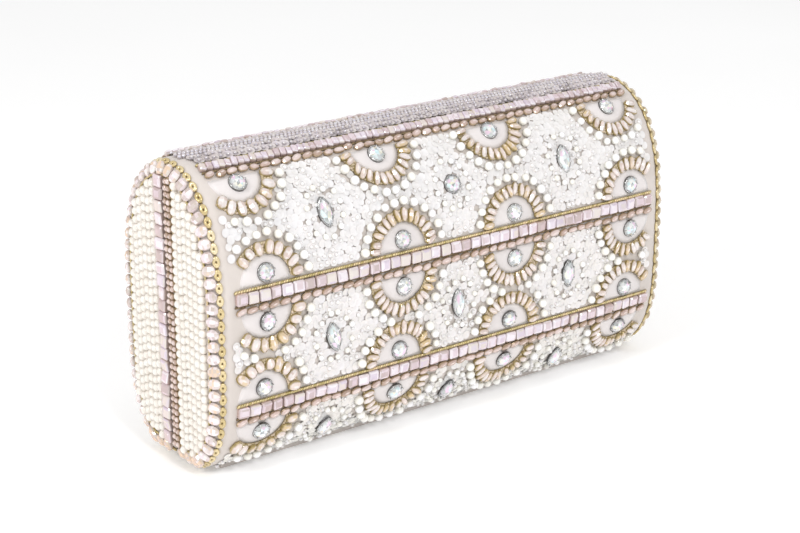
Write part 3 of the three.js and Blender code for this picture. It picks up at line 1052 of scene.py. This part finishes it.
def end_panel(half, side_name, end):
    """Upright rows of cream pearls on one end panel, each row started at its own height."""
    pearls = Sewing()
    low, high = [np.array(corner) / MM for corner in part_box(f"{half}_{side_name}_panel")]
    inner = min(abs(low[1]), abs(high[1])) + PANEL_PEARL
    for depth in np.arange(inner, HALF_DEPTH, PANEL_PITCH):
        z = np.arange(low[2], high[2], PANEL_PITCH) + rng.uniform(0, PANEL_PEARL)
        y = np.full(len(z), -depth)
        keep = inset_of(y, z) > BORDER_INSET + PANEL_PEARL * 0.3
        y, z = jitter(y[keep], 0.06), jitter(z[keep], 0.06)
        size = PANEL_PEARL * rng.normal(1, 0.03, (len(y), 1)) * np.ones(3)
        pearls.add(BALL, end_frames(y, z, end, SEATS["panel_pearl"]), size)
    name = f"{side_name}_panel"
    make_piece(half, f"{name}_pearls", pearls, "cream_pearl", name)


def round_the_end(turn, pitch):
    """Distances down the cloth, evenly spaced along the rounding's line at one turn."""
    line = np.linspace(SEAM_HALF_GAP, SECTION.total, 600)
    points, _ = rounding_frames(line, turn, 1)
    steps = np.linalg.norm(np.diff(points, axis=0), axis=1)
    length = np.concatenate([[0], np.cumsum(steps)])
    return np.interp(evenly(0, length[-1], pitch), length, line)


def border_tints(s):
    """Mixed pinks and greys down the side, turning to peach on top and underneath."""
    on_top = 1 - s / PEACH_REACH
    underneath = (s - SECTION.corner) / PEACH_REACH + 1
    peach = np.clip(np.maximum(on_top, underneath), 0, 1)
    return 0.8 * rng.random(len(s)) * (1 - peach) + peach


def end_border(half, side_name, end):
    """Oval glass beads set crosswise on the rounding, with a thin cord inside them and a chain
    of pale gold rings outside, from the opening over the top and down round to the hinge."""
    name = f"{side_name}_border"
    glass, rings, cord, dark = Sewing(), Sewing(), Sewing(), Sewing()
    s = round_the_end(BORDER_GLASS_TURN, BORDER_PITCH)
    centre, axes = rounding_frames(s, BORDER_GLASS_TURN, end, SEATS["border_glass"])
    axes = tipped(turned(axes, rng.normal(0.15, 0.1, len(s))), LEAN)
    glass.add(BARREL, (centre, axes), BORDER_GLASS_BEAD, border_tints(s), facet_spread=0.35)
    s = round_the_end(BORDER_RING_TURN, BORDER_PITCH)
    centre, axes = rounding_frames(s, BORDER_RING_TURN, end, SEATS["border_ring"])
    rings.add(RING, (centre, tipped(axes, SLIGHT_LEAN)), BORDER_RING_SIZE, facet_spread=0.12)
    line = np.linspace(SEAM_HALF_GAP, SECTION.total, 200)
    centre, axes = rounding_frames(line, BORDER_CORD_TURN, end, DARK_CORD)
    sew_cord(cord, centre, axes[:, 2], DARK_CORD)
    centre, axes = rounding_frames(line, BORDER_RING_TURN, end, 0)
    sew_cord(dark, centre, axes[:, 2], DARK_CORD)
    material = "border_glass" if side_name == "left" else "champagne"
    parts = {
        "glass": (glass, material),
        "rings": (rings, "pale_gold"),
        "cord": (cord, "olive_gold"),
        "dark_cord": (dark, "dark_cord"),
    }
    make_pieces(half, name, parts)


def seam_trim(half, side_name, end):
    """The bead line up the end beside the opening: square beads on one half, small rose beads
    and a dark cord, partly painted shadow at the opening, on the other, each with a thin gold cord along
    its outer side."""
    name = f"{side_name}_seam_trim"
    corners = np.abs(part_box(f"{half}_{name}")) / MM
    near, far = sorted(corners[:, 1])
    foot, head = sorted(corners[:, 2])

    def upright(depth, pitch, height):
        z = evenly(foot, head, pitch)
        return end_frames(np.full(len(z), -depth), z, end, height)

    cord, dark, beads = Sewing(), Sewing(), Sewing()
    if (half == "front") == (side_name == "left"):
        for share in (0.34, 0.76):
            centre, axes = upright(near + (far - near) * share, SMALL_ROSE * 2, SEATS["seam_rose"])
            beads.add(SMALL_BALL, (jitter(centre, 0.08), axes), SMALL_ROSE, facet_spread=0.1)
        parts = {"roses": (beads, "rose"), "dark_cord": (dark, "dark_cord")}
        # The dark cord by the opening is partly painted shadow of the gap between the halves.
        centre, axes = upright(near + DARK_CORD, 1.0, SEATS["seam_cord"])
        sew_cord(dark, centre, axes[:, 2], DARK_CORD)
    else:
        centre, axes = upright((near + far) / 2, SQUARE_WIDTH, SEATS["seam_square"])
        size = (far - near - DARK_CORD, SQUARE_WIDTH * 0.95, SQUARE_HEIGHT)
        beads.add(SQUARE_BEAD, (centre, tipped(axes, LEAN)), size, facet_spread=0.2)
        parts = {"squares": (beads, "lilac")}
    centre, axes = upright(far, 1.0, DARK_CORD)
    sew_cord(cord, centre, axes[:, 2], DARK_CORD)
    make_pieces(half, name, parts | {"cord": (cord, "olive_gold")})


# ---------- cloth and lining ----------
CLOTH_THICKNESS = 0.8
LINING_THICKNESS = 0.4
LINING_DEPTH = 3.9  # below the cloth's surface, inside the board tray
RIPPLE_HEIGHT = 0.22

# How many grid lines the cloth and the lining have along each of their parts.
DOWN_LINES = 90
UNDER_LINES = 10
ROUNDING_LINES = 9
FLAT_LINES = 10
ALONG_LINES = 60


def shell_mesh(name, offset, bottom_whole, ripple, turn):
    """The bag's half surface as one grid, from the opening round one end, along, and back."""
    upright = np.linspace(SEAM_HALF_GAP, SECTION.corner, DOWN_LINES)
    underneath = np.linspace(SECTION.corner, SECTION.total, UNDER_LINES)[1:]
    rows = np.concatenate([upright, underneath])
    turns = np.linspace(0, 90, ROUNDING_LINES)
    spread = np.linspace(0, 1, FLAT_LINES)[:-1]
    columns = []
    for end in (-1, 1):
        core, _ = rounding_frames(rows, 0, end, offset)
        spine = core.copy()
        spine[:, 1] = -SEAM_HALF_GAP
        flat = [spine + (core - spine) * share for share in spread]
        rounded = [rounding_frames(rows, t, end, offset)[0] for t in turns]
        columns.append(flat + rounded)
    run = np.linspace(-FACE_HALF_WIDTH, FACE_HALF_WIDTH, ALONG_LINES)[1:-1]
    middle = [face_frames(x, rows, offset + ripple(x, rows))[0] for x in run]
    grid = np.array(columns[0] + middle + columns[1][::-1])
    lanes = len(spread)
    under = rows[:-1] >= SECTION.corner - 1e-6
    faces = []
    for i in range(len(grid) - 1):
        on_flat = i < lanes or i >= len(grid) - 1 - lanes
        on_face = lanes + len(turns) - 1 <= i < len(grid) - lanes - len(turns)
        for j in range(len(rows) - 1):
            if under[j] and (on_flat or (on_face and not bottom_whole)):
                continue
            a, b = i * len(rows) + j, (i + 1) * len(rows) + j
            faces.append((a, a + 1, b + 1, b))
    mesh = bpy.data.meshes.new(name)
    points = grid.reshape(-1, 3) * (turn, turn, 1) * MM
    mesh.from_pydata(points.tolist(), [], faces)
    mesh.polygons.foreach_set("use_smooth", np.ones(len(faces), bool))
    mesh.update()
    return mesh


def shell_piece(half, name, node, material, offset, thickness, bottom_whole, ripple):
    """A sheet of even thickness, offset from the cloth's surface. Its slot has the material's name."""
    full_name = f"{half}_{name}"
    mesh = shell_mesh(full_name, offset, bottom_whole, ripple, TURNS[half])
    piece = attach(half, full_name, mesh, material, node)
    solid = piece.modifiers.new("thickness", "SOLIDIFY")
    solid.thickness = thickness * MM
    solid.offset = -1


def no_ripple(x, s):
    return np.zeros(len(s))


def lining_ripple(x, s):
    """Soft puckers across the lining, strongest along the middle of the long face."""
    fade = np.sin(np.pi * np.clip(s / SECTION.corner, 0, 1))
    return RIPPLE_HEIGHT * fade * np.sin(x * 0.55 + 0.9 * np.sin(s * 0.11))


# ---------- build both halves ----------
for half_name in ("front", "back"):
    shell_piece(half_name, "cloth", "cover", "cloth", 0.0, CLOTH_THICKNESS, False, no_ripple)
    shell_piece(
        half_name, "lining_satin", "lining", "satin", -LINING_DEPTH, LINING_THICKNESS, True, lining_ripple
    )
    top_sequins(half_name)
    for line_number in (1, 2, 3):
        line_beads(half_name, line_number)
    field_beads(half_name, 1, (True, False, True))
    field_beads(half_name, 2, (True, True, True))
    field_beads(half_name, 3, (True, True, True))
    for end_name, end_sign in (("left", -1), ("right", 1)):
        built = end_sign if half_name == "front" else -end_sign
        end_panel(half_name, end_name, built)
        end_border(half_name, end_name, built)
        seam_trim(half_name, end_name, built)

slots = {part["node"]: part["material_slot"] for part in frame["record"]["subparts"]}
for node_name, node_object in frame["nodes"].items():
    if slots[node_name] in MATERIALS:
        node_object.data.materials.clear()
        node_object.data.materials.append(MATERIALS[slots[node_name]])


# ---------- studio ----------
FLOOR_GLOW = 0.2  # the paper is lit a little from below, as on a product table
FLOOR_HALF_WIDTH = 3.0  # metres


def studio_floor():
    mesh = bpy.data.meshes.new("floor")
    half = FLOOR_HALF_WIDTH
    corners = [(-half, -half, 0), (half, -half, 0), (half, half, 0), (-half, half, 0)]
    mesh.from_pydata(corners, [], [(0, 1, 2, 3)])
    floor = bpy.data.objects.new("floor", mesh)
    bpy.context.scene.collection.objects.link(floor)
    material, nodes, links, shader = node_material("floor_paper")
    shade = ramp(nodes, [(0.3, (0.93, 0.93, 0.93)), (0.7, (0.95, 0.95, 0.95))])
    links.new(noise(nodes, links, 4).outputs["Fac"], shade.inputs["Fac"])
    links.new(shade.outputs["Color"], shader.inputs["Base Color"])
    shader.inputs["Roughness"].default_value = 0.9
    shader.inputs["Emission Color"].default_value = (1, 1, 1, 1)
    shader.inputs["Emission Strength"].default_value = FLOOR_GLOW
    mesh.materials.append(material)


def area_light(name, azimuth, elevation, distance, size, power):
    data = bpy.data.lights.new(name, "AREA")
    data.energy = power
    data.size = size
    light = bpy.data.objects.new(name, data)
    bpy.context.scene.collection.objects.link(light)
    direction = view_direction(azimuth, elevation)
    light.location = CENTRE + direction * distance
    light.rotation_euler = (-direction).to_track_quat("-Z", "Y").to_euler()


def view_direction(azimuth, elevation):
    a, e = math.radians(azimuth), math.radians(elevation)
    return Vector((math.sin(a) * math.cos(e), -math.cos(a) * math.cos(e), math.sin(e)))


CENTRE = (cad_box[0] + cad_box[1]) / 2
CAMERA = {"azimuth": -37.5, "elevation": 19.0, "distance": 0.697, "lens": 86.5}
AIM = CENTRE + Vector((-0.0033, 0, -0.004))  # a little left and low, to place the bag in view

studio_floor()
area_light("key", azimuth=-75, elevation=35, distance=1.0, size=0.2, power=2.4)
area_light("front", azimuth=-15, elevation=38, distance=1.1, size=0.2, power=3.0)
area_light("top", azimuth=30, elevation=75, distance=1.2, size=0.6, power=0.8)

world = bpy.data.worlds.new("studio")
world.use_nodes = True
world.node_tree.nodes["Background"].inputs["Color"].default_value = (1, 1, 1, 1)
world.node_tree.nodes["Background"].inputs["Strength"].default_value = 0.7
bpy.context.scene.world = world
bpy.context.scene.view_settings.view_transform = "Standard"

camera_data = bpy.data.cameras.new("camera")
camera_data.lens = CAMERA["lens"]
camera = bpy.data.objects.new("camera", camera_data)
bpy.context.scene.collection.objects.link(camera)
towards = view_direction(CAMERA["azimuth"], CAMERA["elevation"])
camera.location = AIM + towards * CAMERA["distance"]
camera.rotation_euler = (-towards).to_track_quat("-Z", "Y").to_euler()
bpy.context.scene.camera = camera
